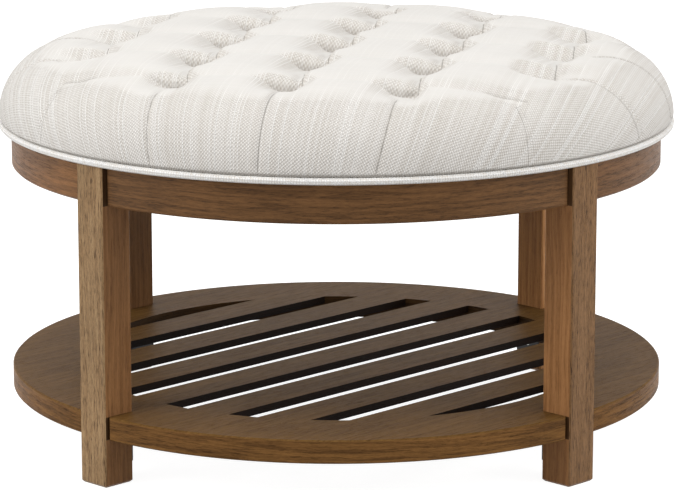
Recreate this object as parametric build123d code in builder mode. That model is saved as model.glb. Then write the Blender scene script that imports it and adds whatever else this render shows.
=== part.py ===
from build123d import *
from math import atan2, cos, degrees, hypot, radians, sin, sqrt
import os

# A round tufted ottoman table, about 800 mm across and 472 mm high. It stands on Z = 0 with its middle on
# the Z axis. Four legs stand on the diagonals. The front of the table faces -Y.

# Places round the table, in degrees
quarter_turn = 90
leg_azimuths = {"front_left": 225, "front_right": 315, "back_right": 45, "back_left": 135}
rail_azimuths = {"front": 270, "right": 0, "back": 90, "left": 180}
eighth_turn = quarter_turn / 2
half_share = 0.5

# Clearances
slip = 0.3  # between curved or soft faces that lie against each other
hole_clearance = 0.2  # on the radius, round a screw or bolt that passes through
overrun = 20  # how far a cutting shape runs past what it cuts

# The round of the table: the apron's outer radius, which the legs, shelf and seat follow
apron_radius = 385

# Legs
leg_width = 42
leg_height = 371
leg_stand_out = 6.5  # of a leg's outer face beyond the apron
leg_edge_chamfer = 1.5
foot_chamfer = 3

# Apron
apron_thickness = 20
apron_height = 46
apron_edge_chamfer = 2

# Corner blocks, with the bolts and screws that they hold
block_depth = 35  # behind the leg's inner face
block_half_width = 75
block_height = 40
bolt_radius = 4
bolt_grip_in_leg = 26
bolt_drop = 23  # of the bolts below the leg's top
bolt_tail = 11
washer_radius = 12
washer_thickness = 2
nut_across_flats = 13
nut_thickness = 6.5
rail_screw_radius = 2.25
rail_screw_offset = 55
rail_screw_bite = 12
seat_screw_radius = 2
seat_screw_offset = 36
seat_screw_setback = 17  # from the block's inner face
seat_screw_sink = 15
seat_screw_bite = 10
screw_head_share = 1.9  # head radius over shank radius
screw_head_depth_share = 1.1  # head depth over shank radius
bolt_side_count = 12  # round bars are drawn many-sided
screw_side_count = 8
tie_side_count = 6

# Shelf
shelf_stand_out = 3  # of the shelf beyond the apron
shelf_bottom = 56
shelf_thickness = 27
rim_width = 85
rim_edge_chamfer = 1.5
rim_end_chamfer = 3
slat_count = 7
slat_pitch_share = 0.2739  # of the rim's inner radius
slat_width_share = 0.6145  # of the slats' pitch
slat_thickness = 9
slat_seat = 18  # how far a slat's end lies on the rim
dowel_radius = 5
dowel_length = 40

# Brackets under the shelf
bracket_width = 36
bracket_arm = 32
bracket_thickness = 2.5
bracket_bend_radius = 3
bracket_screw_radius = 2
bracket_screw_length = 16
bracket_screw_offset = 10
bracket_screw_drop = 20

# Seat: its soft pieces are drawn with flat sides
round_side_count = 48
piping_stand_out = 15  # of the piping beyond the apron
cord_radius = 4
tape_thickness = 1
tape_width = 30
fabric_thickness = 1
hem_width = 41
board_thickness = 12
foam_thickness = 55
foam_bevel = 40
cushion_inset = 0.5  # of the cushion's widest line inside the piping
lip_rise = 3.5  # where the cushion swells out over the piping
shoulder_radius = 76
shoulder_turn = 73
brow_radius = 350
brow_turn = 15.7
crown_rise = 2  # of the puffs over the brow
shoulder_step_count = 4
brow_step_count = 2
dust_cover_thickness = 0.6
dust_cover_inset = 6
dust_cover_side_count = 24  # its edge runs straight from staple to staple

# Tufts: a square grid, turned about the table's axis
tuft_pitch_share = 0.333  # of the cushion's radius
tuft_turn = -12.7
tuft_count_each_way = 2  # from the middle one
tuft_floor = 5  # wadding left under a tuft
tuft_lip_radius = 25
tuft_side_count = 6
tuft_step_count = 2
tuft_core_radius = 2
corner_tuft_inset = 47.5  # from the cushion's widest line
puff_rise = 9
puff_step_count = 4
pleat_depth = 6
pleat_half_width = 8  # at the surface
pleat_rise = 10  # of the groove's cutting shape over the surface
tie_radius = 1
tie_knot = 3  # of a tie's top inside the wadding
tie_stop_radius = 6
tie_stop_thickness = 1

# Heights and radii that follow
leg_reach = apron_radius + leg_stand_out
shelf_radius = apron_radius + shelf_stand_out
rim_inner_radius = shelf_radius - rim_width
slat_pitch = rim_inner_radius * slat_pitch_share
slat_width = slat_pitch * slat_width_share
piping_outer_radius = apron_radius + piping_stand_out
leg_centre_reach = leg_reach - leg_width / 2
leg_inner_reach = leg_reach - leg_width
apron_bottom = leg_height - apron_height
apron_inner_radius = apron_radius - apron_thickness
block_inner_reach = leg_inner_reach - block_depth
block_radius = apron_inner_radius - slip
block_bottom = leg_height - block_height
bolt_height = leg_height - bolt_drop
shelf_top = shelf_bottom + shelf_thickness
slat_reach = rim_inner_radius + slat_seat
notch_reach = leg_inner_reach - slip
cord_centre_radius = piping_outer_radius - cord_radius
cord_centre_height = leg_height + cord_radius
piping_top = leg_height + 2 * cord_radius
tape_top = leg_height + tape_thickness
board_bottom = tape_top + fabric_thickness
board_top = board_bottom + board_thickness
skirt_radius = cord_centre_radius - cord_radius - slip
board_radius = skirt_radius - fabric_thickness
flat_share = cos(radians(2 * quarter_turn / round_side_count))  # of a flat side's reach over a corner's
foam_radius = board_radius - slip
foam_top = board_top + foam_thickness
cushion_radius = piping_outer_radius - cushion_inset
tuft_pitch = cushion_radius * tuft_pitch_share
corner_tuft_reach = cushion_radius - corner_tuft_inset
hem_inner_radius = skirt_radius - hem_width
tape_inner_radius = cord_centre_radius - tape_width
dust_cover_radius = tape_inner_radius - dust_cover_inset
dust_cover_bottom = tape_top - dust_cover_thickness


def diagonal_plane(azimuth, height=0):
    """A level plane whose X runs out from the table's axis at that azimuth."""
    return Plane.XY.offset(height).rotated((0, 0, azimuth))


def outward_plane(azimuth, reach, side, height):
    """An upright plane that faces outwards, at a place given by its reach, step to the side and height."""
    level = diagonal_plane(azimuth)
    spot = level.from_local_coords(Vector(reach, side, height))
    return Plane(origin=spot, x_dir=level.y_dir, z_dir=level.x_dir)


def upward_plane(azimuth, reach, side, height):
    """A level plane at a place given in the same way."""
    level = diagonal_plane(azimuth)
    spot = level.from_local_coords(Vector(reach, side, height))
    return Plane(origin=spot, x_dir=level.x_dir, z_dir=(0, 0, 1))


def save(part, name):
    part.label = name
    export_step(part, f"parts/{name}.step")


def tangent_plane(azimuth, reach, height):
    """An upright plane that faces round the table, at a place given by its reach and height."""
    level = diagonal_plane(azimuth)
    spot = level.from_local_coords(Vector(reach, 0, height))
    return Plane(origin=spot, x_dir=level.x_dir, z_dir=level.y_dir)


def radial_plane(azimuth):
    """An upright plane through the table's axis: X runs outwards and Y up."""
    level = diagonal_plane(azimuth)
    return Plane(origin=(0, 0, 0), x_dir=level.x_dir, z_dir=-level.y_dir)


def distance_from_axis(shape):
    middle = shape.center()
    return hypot(middle.X, middle.Y)


def stacked_bar(rings, sides):
    """A many-sided bar that stands on the plane. Each ring is its radius and height, the lowest first."""
    with BuildPart() as bar:
        for (radius, height), (next_radius, next_height) in zip(rings, rings[1:]):
            rise = next_height - height
            narrowing = (radius - next_radius) * cos(radians(2 * quarter_turn / sides))
            with BuildSketch(Plane.XY.offset(height)):
                RegularPolygon(radius, sides)
            extrude(amount=rise, taper=degrees(atan2(narrowing, rise)))
    return bar.part


def round_bar(radius, length, sides):
    return stacked_bar([(radius, 0), (radius, length)], sides)


def screw(shank_radius, length):
    """A countersunk screw: its head's face on the plane, its shank running along the plane's normal."""
    head = (shank_radius * screw_head_share, 0)
    neck = (shank_radius, shank_radius * screw_head_depth_share)
    return stacked_bar([head, neck, (shank_radius, length)], screw_side_count)


def arc_points(middle, radius, start, turn, steps):
    """Points along an arc after its start, at even steps. Angles are in degrees."""
    points = []
    for step in range(1, steps + 1):
        angle = radians(start + turn * step / steps)
        points.append((middle[0] + radius * cos(angle), middle[1] + radius * sin(angle)))
    return points


def polygon_ring(radius, height, sides):
    """The corners of a level polygon round the table's axis."""
    turns = [radians(4 * quarter_turn * number / sides) for number in range(sides)]
    return [Vector(radius * cos(turn), radius * sin(turn), height) for turn in turns]


def flat_sided(sections, closed=False):
    """A solid with flat faces between one section and the next, each a list of corners.

    It ends with the first and last section, or where it is closed it goes on from the last to the first.
    """
    if closed:
        pairs = zip(sections, sections[1:] + sections[:1])
        faces = []
    else:
        pairs = zip(sections, sections[1:])
        faces = [Face(Wire.make_polygon(sections[0])), Face(Wire.make_polygon(sections[-1]))]
    for near, far in pairs:
        for index in range(len(near)):
            corners = [near[index - 1], near[index], far[index], far[index - 1]]
            faces.append(Face(Wire.make_polygon(corners)))
    return Solid(Shell(faces))


os.makedirs("parts", exist_ok=True)

# Where each kind of fastener goes, used by the pieces that it joins and by the fastener itself
bolt_length = bolt_tail + block_depth + bolt_grip_in_leg
bolt_planes = [outward_plane(a, block_inner_reach - bolt_tail, 0, bolt_height) for a in leg_azimuths.values()]
washer_planes = [
    outward_plane(a, block_inner_reach - washer_thickness, 0, bolt_height) for a in leg_azimuths.values()
]
nut_planes = [
    outward_plane(a, block_inner_reach - washer_thickness - nut_thickness, 0, bolt_height)
    for a in leg_azimuths.values()
]

rail_inner_at_screw = sqrt(apron_inner_radius**2 - rail_screw_offset**2)
rail_screw_length = rail_inner_at_screw + rail_screw_bite - block_inner_reach
rail_screw_planes = [
    outward_plane(a, block_inner_reach, side * rail_screw_offset, bolt_height)
    for a in leg_azimuths.values()
    for side in (-1, 1)
]

seat_screw_height = block_bottom + seat_screw_sink
seat_screw_length = board_bottom + seat_screw_bite - seat_screw_height
seat_screw_planes = [
    upward_plane(a, block_inner_reach + seat_screw_setback, side * seat_screw_offset, seat_screw_height)
    for a in leg_azimuths.values()
    for side in (-1, 1)
]

bracket_screw_reach = (rim_inner_radius + notch_reach) * half_share
bracket_screw_planes = []
for azimuth in leg_azimuths.values():
    for side in (-1, 1):
        bracket_screw_planes.append(
            upward_plane(
                azimuth,
                bracket_screw_reach,
                side * bracket_screw_offset,
                shelf_bottom - bracket_thickness,
            )
        )
    bracket_screw_planes.append(
        outward_plane(azimuth, leg_inner_reach - bracket_thickness, 0, shelf_bottom - bracket_screw_drop)
    )

dowel_reach = (slat_reach + notch_reach) * half_share
dowel_height = shelf_bottom + shelf_thickness * half_share
dowel_planes = [
    tangent_plane(a, dowel_reach, dowel_height).offset(-dowel_length * half_share)
    for a in leg_azimuths.values()
]
dowel = round_bar(dowel_radius, dowel_length, bolt_side_count)
dowel_cutter = round_bar(dowel_radius + hole_clearance, dowel_length, bolt_side_count)

slat_azimuth = leg_azimuths["back_right"]
slat_offsets = [(number - (slat_count - 1) * half_share) * slat_pitch for number in range(slat_count)]

rail_screw = screw(rail_screw_radius, rail_screw_length)
rail_screw_cutter = screw(rail_screw_radius + hole_clearance, rail_screw_length + hole_clearance)
seat_screw = screw(seat_screw_radius, seat_screw_length)
seat_screw_cutter = screw(seat_screw_radius + hole_clearance, seat_screw_length + hole_clearance)
seat_screw_sink_cutter = round_bar(
    (seat_screw_radius + hole_clearance) * screw_head_share, seat_screw_sink, screw_side_count
)
bracket_screw = screw(bracket_screw_radius, bracket_screw_length)
bracket_screw_cutter = screw(bracket_screw_radius + hole_clearance, bracket_screw_length + hole_clearance)
bolt = round_bar(bolt_radius, bolt_length, bolt_side_count)
bolt_cutter = round_bar(bolt_radius + hole_clearance, bolt_length + hole_clearance, bolt_side_count)

# Legs: square posts with eased edges, drilled for the bolt above and the bracket's screws below
for place, azimuth in leg_azimuths.items():
    with BuildPart() as leg:
        with BuildSketch(diagonal_plane(azimuth)):
            with Locations((leg_centre_reach, 0)):
                Rectangle(leg_width, leg_width)
        extrude(amount=leg_height)
        chamfer(leg.faces().sort_by(Axis.Z)[0].edges(), foot_chamfer)
        chamfer(leg.edges().filter_by(Axis.Z), leg_edge_chamfer)
        with Locations(*bolt_planes):
            add(bolt_cutter, mode=Mode.SUBTRACT)
        with Locations(*bracket_screw_planes):
            add(bracket_screw_cutter, mode=Mode.SUBTRACT)
    save(leg.part, f"leg_{place}")

# Apron: a curved rail between each two legs, its ends square to them
for place, azimuth in rail_azimuths.items():
    with BuildPart() as rail:
        with BuildSketch(diagonal_plane(azimuth, apron_bottom)):
            with BuildLine():
                outside = CenterArc((0, 0), apron_radius, -eighth_turn, quarter_turn)
                inside = CenterArc((0, 0), apron_inner_radius, -eighth_turn, quarter_turn)
                Line(outside @ 0, inside @ 0)
                Line(outside @ 1, inside @ 1)
            make_face()
            with PolarLocations(leg_centre_reach, 2, -eighth_turn, quarter_turn, endpoint=True):
                Rectangle(leg_width, leg_width, mode=Mode.SUBTRACT)
        extrude(amount=apron_height)
        end_corners = rail.edges().filter_by(Axis.Z).sort_by(distance_from_axis)[-2:]
        chamfer(end_corners, apron_edge_chamfer)
        bottom_edge = rail.faces().sort_by(Axis.Z)[0].edges().sort_by(distance_from_axis)[-1]
        chamfer(bottom_edge, apron_edge_chamfer)
        with Locations(*rail_screw_planes):
            add(rail_screw_cutter, mode=Mode.SUBTRACT)
    save(rail.part, f"apron_{place}")

# Corner blocks: glued into the ring of rails, notched over the leg's inner side
for place, azimuth in leg_azimuths.items():
    with BuildPart() as block:
        with BuildSketch(diagonal_plane(azimuth, block_bottom)):
            with Locations((block_inner_reach, 0)):
                Rectangle(
                    block_radius - block_inner_reach, 2 * block_half_width, align=(Align.MIN, Align.CENTER)
                )
            Circle(block_radius, mode=Mode.INTERSECT)
            with Locations((leg_centre_reach, 0)):
                Rectangle(leg_width, leg_width + 2 * slip, mode=Mode.SUBTRACT)
        extrude(amount=block_height)
        with Locations(*bolt_planes):
            add(bolt_cutter, mode=Mode.SUBTRACT)
        with Locations(*rail_screw_planes):
            add(rail_screw_cutter, mode=Mode.SUBTRACT)
        with Locations(*seat_screw_planes):
            add(seat_screw_cutter, mode=Mode.SUBTRACT)
        with Locations(*[plane.offset(-seat_screw_sink) for plane in seat_screw_planes]):
            add(seat_screw_sink_cutter, mode=Mode.SUBTRACT)
    save(block.part, f"corner_block_{place}")

# Leg bolts: each runs through its block into the leg, with a washer and a nut on the block's inner face
with BuildPart() as leg_bolts:
    with Locations(*bolt_planes):
        add(bolt)
save(leg_bolts.part, "leg_bolts")

with BuildPart() as leg_washers:
    for plane in washer_planes:
        with BuildSketch(plane):
            RegularPolygon(washer_radius, bolt_side_count)
            RegularPolygon(bolt_radius + hole_clearance, bolt_side_count, mode=Mode.SUBTRACT)
        extrude(amount=washer_thickness)
save(leg_washers.part, "leg_washers")

with BuildPart() as leg_nuts:
    for plane in nut_planes:
        with BuildSketch(plane):
            RegularPolygon(nut_across_flats * half_share, side_count=6, major_radius=False)
            RegularPolygon(bolt_radius + hole_clearance, bolt_side_count, mode=Mode.SUBTRACT)
        extrude(amount=nut_thickness)
save(leg_nuts.part, "leg_nuts")

with BuildPart() as rail_screws:
    with Locations(*rail_screw_planes):
        add(rail_screw)
save(rail_screws.part, "rail_screws")

with BuildPart() as seat_screws:
    with Locations(*seat_screw_planes):
        add(seat_screw)
save(seat_screws.part, "seat_screws")

# Shelf rim: four quarters that meet at the legs, notched round them, with a seat cut for each slat's end
for place, azimuth in rail_azimuths.items():
    with BuildPart() as rim:
        with BuildSketch(diagonal_plane(azimuth, shelf_bottom)):
            with BuildLine():
                outside = CenterArc((0, 0), shelf_radius, -eighth_turn, quarter_turn)
                inside = CenterArc((0, 0), rim_inner_radius, -eighth_turn, quarter_turn)
                Line(outside @ 0, inside @ 0)
                Line(outside @ 1, inside @ 1)
            make_face()
            with PolarLocations(notch_reach, 2, -eighth_turn, quarter_turn, endpoint=True):
                Rectangle(
                    leg_width,
                    leg_width + 2 * slip,
                    align=(Align.MIN, Align.CENTER),
                    mode=Mode.SUBTRACT,
                )
        extrude(amount=shelf_thickness)
        end_corners = rim.edges().filter_by(Axis.Z).sort_by(distance_from_axis)[-2:]
        chamfer(end_corners, rim_end_chamfer)
        top_edge = rim.faces().sort_by(Axis.Z)[-1].edges().sort_by(distance_from_axis)[-1]
        bottom_edge = rim.faces().sort_by(Axis.Z)[0].edges().sort_by(distance_from_axis)[-1]
        chamfer([top_edge, bottom_edge], rim_edge_chamfer)
        with BuildSketch(diagonal_plane(slat_azimuth, shelf_top)):
            for across in slat_offsets:
                with Locations((0, across)):
                    Rectangle(2 * slat_reach, slat_width)
            Circle(slat_reach, mode=Mode.INTERSECT)
        extrude(amount=-slat_thickness, mode=Mode.SUBTRACT)
        with Locations(*dowel_planes):
            add(dowel_cutter, mode=Mode.SUBTRACT)
        with Locations(*bracket_screw_planes):
            add(bracket_screw_cutter, mode=Mode.SUBTRACT)
    save(rim.part, f"shelf_rim_{place}")

# Slats: thin strips that lie flush in the rim, all along the same diagonal
for number, across in enumerate(slat_offsets, start=1):
    with BuildPart() as slat:
        with BuildSketch(diagonal_plane(slat_azimuth, shelf_top)):
            with Locations((0, across)):
                Rectangle(2 * slat_reach, slat_width)
            Circle(slat_reach, mode=Mode.INTERSECT)
        extrude(amount=-slat_thickness)
    save(slat.part, f"shelf_slat_{number}")

with BuildPart() as rim_dowels:
    with Locations(*dowel_planes):
        add(dowel)
save(rim_dowels.part, "rim_dowels")

# Brackets: bent steel angles that carry the shelf on the legs' inner faces
with BuildPart() as shelf_brackets:
    for azimuth in leg_azimuths.values():
        with BuildSketch(radial_plane(azimuth)):
            with BuildLine():
                Polyline(
                    (leg_inner_reach, shelf_bottom),
                    (leg_inner_reach - bracket_arm, shelf_bottom),
                    (leg_inner_reach - bracket_arm, shelf_bottom - bracket_thickness),
                    (leg_inner_reach - bracket_thickness, shelf_bottom - bracket_thickness),
                    (leg_inner_reach - bracket_thickness, shelf_bottom - bracket_arm),
                    (leg_inner_reach, shelf_bottom - bracket_arm),
                    close=True,
                )
            profile = make_face()
            inner_bend = profile.vertices().sort_by_distance(
                (leg_inner_reach - bracket_thickness, shelf_bottom - bracket_thickness)
            )[0]
            fillet(inner_bend, bracket_bend_radius)
        extrude(amount=bracket_width * half_share, both=True)
    with Locations(*bracket_screw_planes):
        add(bracket_screw_cutter, mode=Mode.SUBTRACT)
save(shelf_brackets.part, "shelf_brackets")

with BuildPart() as bracket_screws:
    with Locations(*bracket_screw_planes):
        add(bracket_screw)
save(bracket_screws.part, "bracket_screws")

# Tuft places: a square grid turned about the table's axis. Its corners are drawn in to the shoulder.
tuft_steps = range(-tuft_count_each_way, tuft_count_each_way + 1)
along = Vector(cos(radians(tuft_turn)), sin(radians(tuft_turn)))
across_grid = Vector(-sin(radians(tuft_turn)), cos(radians(tuft_turn)))
inner_tufts = {}
corner_tufts = {}
for i in tuft_steps:
    for j in tuft_steps:
        spot = (along * i + across_grid * j) * tuft_pitch
        if abs(i) == tuft_count_each_way and abs(j) == tuft_count_each_way:
            corner_tufts[i, j] = spot.normalized() * corner_tuft_reach
        else:
            inner_tufts[i, j] = spot

# Ties: twine that pulls each tuft down, with a flat stop under the board
cover_ceiling = foam_top + slip
tie_top = cover_ceiling + tie_knot
tie = round_bar(tie_radius, tie_top - tape_top, tie_side_count)
tie_cutter = round_bar(tie_radius + hole_clearance, tie_top + hole_clearance - tape_top, tie_side_count)
tie_stop = round_bar(tie_stop_radius, tie_stop_thickness, screw_side_count)
tie_places = [Pos(spot.X, spot.Y, tape_top) for spot in inner_tufts.values()]
with BuildPart() as tuft_ties:
    with Locations(*tie_places):
        add(tie)
        add(tie_stop)
save(tuft_ties.part, "tuft_ties")

# Seat board: a plywood disc, drilled for the ties and screwed down on the blocks
with BuildPart() as seat_board:
    with BuildSketch(Plane.XY.offset(board_bottom)):
        Circle(board_radius * flat_share)
    extrude(amount=board_thickness)
    with Locations(*tie_places):
        add(tie_cutter, mode=Mode.SUBTRACT)
    with Locations(*seat_screw_planes):
        add(seat_screw_cutter, mode=Mode.SUBTRACT)
save(seat_board.part, "seat_board")

# Foam pad: a disc with a bevelled upper edge
with BuildPart() as foam_pad:
    add(
        flat_sided(
            [
                polygon_ring(foam_radius, board_top, round_side_count),
                polygon_ring(foam_radius, foam_top - foam_bevel, round_side_count),
                polygon_ring(foam_radius - foam_bevel, foam_top, round_side_count),
            ]
        )
    )
    with Locations(*tie_places):
        add(tie_cutter, mode=Mode.SUBTRACT)
save(foam_pad.part, "foam_pad")

# Piping: a welt cord with its flat tape, which lies between the apron and the hem
cord_corner_radius = cord_radius / cos(radians(2 * quarter_turn / screw_side_count))
cord_sections = []
for turn in range(round_side_count):
    corners = []
    for number in range(screw_side_count):
        angle = radians(4 * quarter_turn * (number + half_share) / screw_side_count)
        reach = cord_centre_radius + cord_corner_radius * cos(angle)
        height = cord_centre_height + cord_corner_radius * sin(angle)
        corners.append(polygon_ring(reach, height, round_side_count)[turn])
    cord_sections.append(corners)
with BuildPart() as piping:
    add(flat_sided(cord_sections, closed=True))
    with BuildSketch(Plane.XY.offset(leg_height)):
        RegularPolygon(cord_centre_radius, round_side_count)
        RegularPolygon(tape_inner_radius, round_side_count, mode=Mode.SUBTRACT)
    extrude(amount=tape_thickness)
save(piping.part, "piping")

# Dust cover: a thin sheet under the board
with BuildPart() as dust_cover:
    with BuildSketch(Plane.XY.offset(dust_cover_bottom)):
        RegularPolygon(dust_cover_radius, dust_cover_side_count)
    extrude(amount=dust_cover_thickness)
    with Locations(*seat_screw_planes):
        add(seat_screw_cutter, mode=Mode.SUBTRACT)
save(dust_cover.part, "dust_cover")

# Tufted cover, fabric with its quilted wadding: its outside, the hollow in it and the opening in its hem
lip_height = piping_top + slip
widest_height = lip_height + lip_rise
shoulder_middle = (cushion_radius - shoulder_radius, widest_height)
shoulder = arc_points(shoulder_middle, shoulder_radius, 0, shoulder_turn, shoulder_step_count)
brow_middle = (
    shoulder[-1][0] - brow_radius * cos(radians(shoulder_turn)),
    shoulder[-1][1] - brow_radius * sin(radians(shoulder_turn)),
)
brow = arc_points(brow_middle, brow_radius, shoulder_turn, brow_turn, brow_step_count)
crown_height = brow[-1][1] + crown_rise
cover_rings = [(skirt_radius, tape_top), (skirt_radius, lip_height), (cushion_radius, widest_height)]
cover_rings += [*shoulder, *brow, (overrun, crown_height + overrun)]
cover_outside = flat_sided([polygon_ring(*ring, round_side_count) for ring in cover_rings])
hollow_rings = [(board_radius, board_bottom), (board_radius, cover_ceiling - foam_bevel)]
hollow_rings += [(board_radius - foam_bevel, cover_ceiling)]
cover_hollow = flat_sided([polygon_ring(*ring, round_side_count) for ring in hollow_rings])
hem_rings = [(hem_inner_radius, tape_top - overrun), (hem_inner_radius, board_bottom)]
hem_opening = flat_sided([polygon_ring(*ring, round_side_count) for ring in hem_rings])

# Puffs: low arches along both ways of the grid leave a pillow between each four tufts
arch_count = 2 * (tuft_count_each_way + 1)
valley_height = crown_height - puff_rise
arch_reach = arch_count * tuft_pitch * half_share
cut_reach = piping_outer_radius + overrun
arch_tops = []
for step in range(arch_count * puff_step_count + 1):
    phase = step % puff_step_count / puff_step_count
    rise = 4 * puff_rise * phase * (1 - phase)
    arch_tops.append((step * tuft_pitch / puff_step_count - arch_reach, valley_height + rise))
with BuildSketch(Plane.XZ) as arches:
    with BuildLine():
        Polyline(
            (-cut_reach, tape_top - overrun),
            (-cut_reach, valley_height),
            *arch_tops,
            (cut_reach, valley_height),
            (cut_reach, tape_top - overrun),
            close=True,
        )
    make_face()

# Tuft pocket: a trumpet, narrow at the tie and opening out into the puffs
tuft_mouth = tuft_core_radius + tuft_lip_radius
pocket_rings = [(tuft_core_radius, 0)]
pocket_rings += arc_points((tuft_mouth, 0), tuft_lip_radius, 2 * quarter_turn, -quarter_turn, tuft_step_count)
pocket_rings.append((tuft_mouth, tuft_lip_radius + overrun))
pocket = flat_sided([polygon_ring(*ring, tuft_side_count) for ring in pocket_rings])
tuft_bottom = cover_ceiling + tuft_floor
corner_tuft_bottom = tuft_bottom - (corner_tuft_reach + foam_bevel - board_radius)
pleat_reach = pleat_half_width * (pleat_depth + pleat_rise) / pleat_depth
tuft_places = [Pos(spot.X, spot.Y, tuft_bottom) for spot in inner_tufts.values()]
tuft_places += [Pos(spot.X, spot.Y, corner_tuft_bottom) for spot in corner_tufts.values()]


def pleat(spot, direction):
    """A V-shaped groove from a tuft over the shoulder and down to the piping, in the direction given."""
    step = spot.dot(direction)
    run = -step + sqrt(step**2 + cushion_radius**2 - spot.length**2)
    middle = run - shoulder_radius
    sideways = direction.cross(Vector(0, 0, 1))
    route = [(run, tape_top - overrun, 0)]
    for bend in range(shoulder_step_count + 1):
        angle = shoulder_turn * bend / shoulder_step_count
        across = middle + shoulder_radius * cos(radians(angle))
        if across > 0:
            route.append((across, widest_height + shoulder_radius * sin(radians(angle)), angle))
    if middle > 0:
        route.append((-tuft_mouth * half_share, valley_height, route[-1][2]))
    else:
        end_height = widest_height + sqrt(shoulder_radius**2 - middle**2)
        route.append((-tuft_mouth * half_share, end_height, route[-1][2]))
    sections = []
    for across, height, angle in route:
        section = []
        for depth, side in ((pleat_depth, 0), (-pleat_rise, -pleat_reach), (-pleat_rise, pleat_reach)):
            out = across - depth * cos(radians(angle))
            up = height - depth * sin(radians(angle))
            section.append(spot + direction * out + sideways * side + Vector(0, 0, up))
        sections.append(section)
    return flat_sided(sections)


pleats = []
for (i, j), spot in inner_tufts.items():
    if abs(i) == tuft_count_each_way:
        pleats.append(pleat(spot, along * (i / tuft_count_each_way)))
    if abs(j) == tuft_count_each_way:
        pleats.append(pleat(spot, across_grid * (j / tuft_count_each_way)))
for spot in corner_tufts.values():
    pleats.append(pleat(spot, spot.normalized()))

with BuildPart() as tufted_cover:
    add(cover_outside)
    for turned in (0, quarter_turn):
        with BuildSketch(radial_plane(tuft_turn + turned).offset(-cut_reach)):
            add(arches.sketch_local)
        extrude(amount=2 * cut_reach, mode=Mode.INTERSECT)
    with Locations(*tuft_places):
        add(pocket, mode=Mode.SUBTRACT)
    for groove in pleats:
        add(groove, mode=Mode.SUBTRACT)
    add(cover_hollow, mode=Mode.SUBTRACT)
    add(hem_opening, mode=Mode.SUBTRACT)
    with Locations(*tie_places):
        add(tie_cutter, mode=Mode.SUBTRACT)
save(tufted_cover.part, "tufted_cover")
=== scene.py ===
from math import atan2, copysign, cos, hypot, pi, radians, sin, sqrt, tan
import bpy
import bmesh
import numpy as np
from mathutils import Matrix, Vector


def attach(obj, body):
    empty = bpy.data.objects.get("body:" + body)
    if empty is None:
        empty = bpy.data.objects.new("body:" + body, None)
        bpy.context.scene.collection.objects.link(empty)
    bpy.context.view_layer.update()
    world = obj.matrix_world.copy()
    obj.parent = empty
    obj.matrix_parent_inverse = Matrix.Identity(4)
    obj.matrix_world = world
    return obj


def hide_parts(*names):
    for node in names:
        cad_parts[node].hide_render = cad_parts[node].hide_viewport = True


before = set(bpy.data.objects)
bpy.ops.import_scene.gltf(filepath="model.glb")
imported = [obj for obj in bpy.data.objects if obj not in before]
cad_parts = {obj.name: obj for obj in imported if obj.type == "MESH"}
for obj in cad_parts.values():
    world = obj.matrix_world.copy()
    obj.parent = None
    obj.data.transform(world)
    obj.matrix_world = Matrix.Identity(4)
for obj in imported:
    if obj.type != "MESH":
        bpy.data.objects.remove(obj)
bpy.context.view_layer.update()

# -------- legs
# Four square posts of solid stained ash, their corners eased with a plane and their faces turned outwards. The
# grain runs up the leg. The outer faces are paler, partly as flat-sawn wood and partly as a painted sheen of the
# lamps in front; the side faces are darker, and in the narrow gaps beside the rails and the shelf's rim they carry
# painted shade.
mm = 0.001


def colour(text):
    """A colour given as sRGB hex, turned into linear values."""
    channels = [int(text[i:i + 2], 16) / 255 for i in (0, 2, 4)]
    linear = [c / 12.92 if c <= 0.04045 else ((c + 0.055) / 1.055) ** 2.4 for c in channels]
    return (*linear, 1.0)


def node(tree, kind, *values, **settings):
    """Adds a shader node. The values fill its sockets in order, or as a dict says.

    A node, or a tuple (node, output), is linked. Of a node alone, the first output that it uses is taken.
    """
    made = tree.nodes.new("ShaderNode" + kind)
    for key, value in settings.items():
        setattr(made, key, value)
    sockets = values[0] if values and isinstance(values[0], dict) else dict(enumerate(values))
    for key, value in sockets.items():
        if isinstance(value, bpy.types.Node):
            tree.links.new(next(output for output in value.outputs if output.enabled), made.inputs[key])
        elif isinstance(value, tuple) and isinstance(value[0], bpy.types.Node):
            tree.links.new(value[0].outputs[value[1]], made.inputs[key])
        else:
            made.inputs[key].default_value = value
    return made


def new_material(name):
    material = bpy.data.materials.new(name)
    material.use_nodes = True
    material.node_tree.nodes.clear()
    return material, material.node_tree


def dress(names, material):
    """Gives a material to solids that keep their shape."""
    for name in names:
        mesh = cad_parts[name].data
        mesh.materials.clear()
        mesh.materials.append(material)


def straight(turn):
    """Places in metres on the table, turned about the upright axis by so many degrees."""
    def place(tree):
        source = node(tree, "TexCoord")
        return node(
            tree, "VectorRotate",
            {"Vector": (source, "Object"), "Axis": (0, 0, 1), "Angle": -radians(turn)},
            rotation_type="AXIS_ANGLE",
        )
    return place


def faces_along(tree, direction, either_way):
    """1 where a surface faces along direction and 0 elsewhere."""
    share = node(tree, "VectorMath", (node(tree, "TexCoord"), "Normal"), direction, operation="DOT_PRODUCT")
    if either_way:
        share = node(tree, "Math", share, operation="ABSOLUTE")
    return node(tree, "MapRange", share, 0.5, 0.7)


def stain_and_light_toned(tones, share):
    """The same tones lighter or darker: partly as each board takes the stain in its own way, partly as painted light
    where a part gets more or less of the lamps' light.
    """
    return [
        "".join(f"{min(255, round(int(tone[i:i + 2], 16) * share)):02x}" for i in (0, 2, 4)) for tone in tones
    ]


# Sizes in the grain of ash, in millimetres across it and along it. Real pores are a third as wide, which is too
# fine to show in the render.
band_size = (3.8462, 109.89)
band_wander = 30
wander_size = (111.11, 454.55)
pore_size = (1.0526, 13.333)
hair_size = (0.43478, 5.2632)
cloud_size = (62.5, 200)
pore_depth = 0.3
joint_shade_blur = 0.4
inner_shade_blur = 20


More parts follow.
